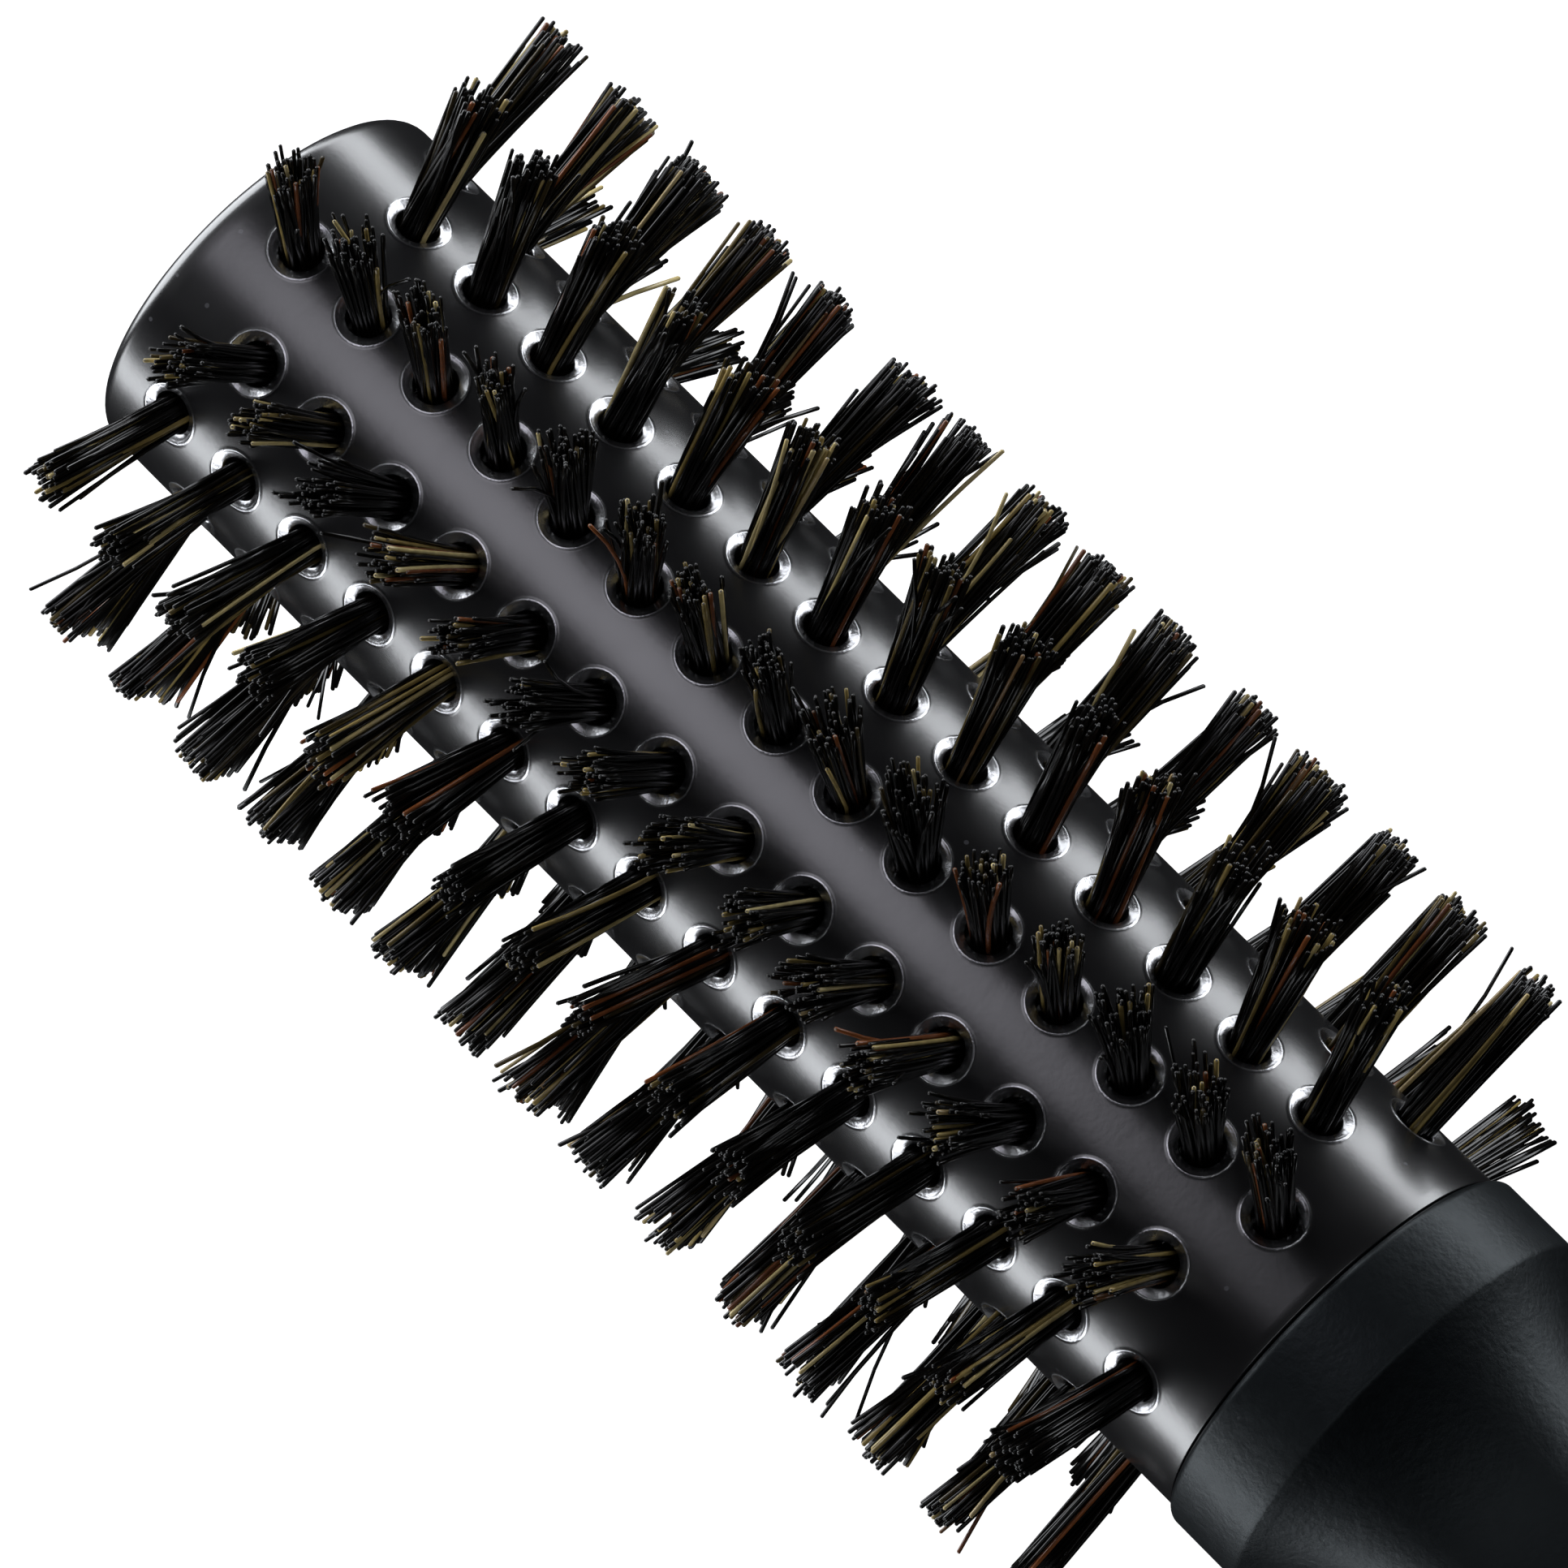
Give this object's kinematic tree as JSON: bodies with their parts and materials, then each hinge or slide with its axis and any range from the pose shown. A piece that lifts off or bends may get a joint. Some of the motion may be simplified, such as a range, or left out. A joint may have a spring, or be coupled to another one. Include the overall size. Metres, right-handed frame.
{
  "type": "round barrel brush",
  "caption": "Round hairbrush with a solid barrel, rows of bristle tufts in countersunk holes, and a soft-grip handle, for blow-drying and styling.",
  "frame": {"origin": "centre of the barrel's flat tip face", "axes": "+Z along the brush's axis from the barrel's tip to the handle's tail; +X midway between tuft rows 12 and 01; +Y a quarter turn round from it"},
  "size_m": [0.051, 0.051, 0.24],
  "materials": {
    "barrel": "satin dark charcoal lacquer with a slight orange peel",
    "bristle": "natural bristle, mostly black with some golden and red-brown hairs",
    "anchor": "drawn flat wire",
    "tang_rod": "plain drawn rod",
    "handle_core": "moulded, hidden under the sleeve",
    "grip_sleeve": "matte soft-touch rubber with a very fine grain"
  },
  "bodies": {
    "root": {"barrel": "barrel", "tang_rod": "tang_rod", "handle_core": "handle_core", "grip_sleeve": "grip_sleeve", "tuft_row_01": "bristle", "tuft_row_02": "bristle", "tuft_row_03": "bristle", "tuft_row_04": "bristle", "tuft_row_05": "bristle", "tuft_row_06": "bristle", "tuft_row_07": "bristle", "tuft_row_08": "bristle", "tuft_row_09": "bristle", "tuft_row_10": "bristle", "tuft_row_11": "bristle", "tuft_row_12": "bristle", "anchor_row_01": "anchor", "anchor_row_02": "anchor", "anchor_row_03": "anchor", "anchor_row_04": "anchor", "anchor_row_05": "anchor", "anchor_row_06": "anchor", "anchor_row_07": "anchor", "anchor_row_08": "anchor", "anchor_row_09": "anchor", "anchor_row_10": "anchor", "anchor_row_11": "anchor", "anchor_row_12": "anchor"}
  },
  "joints": []
}
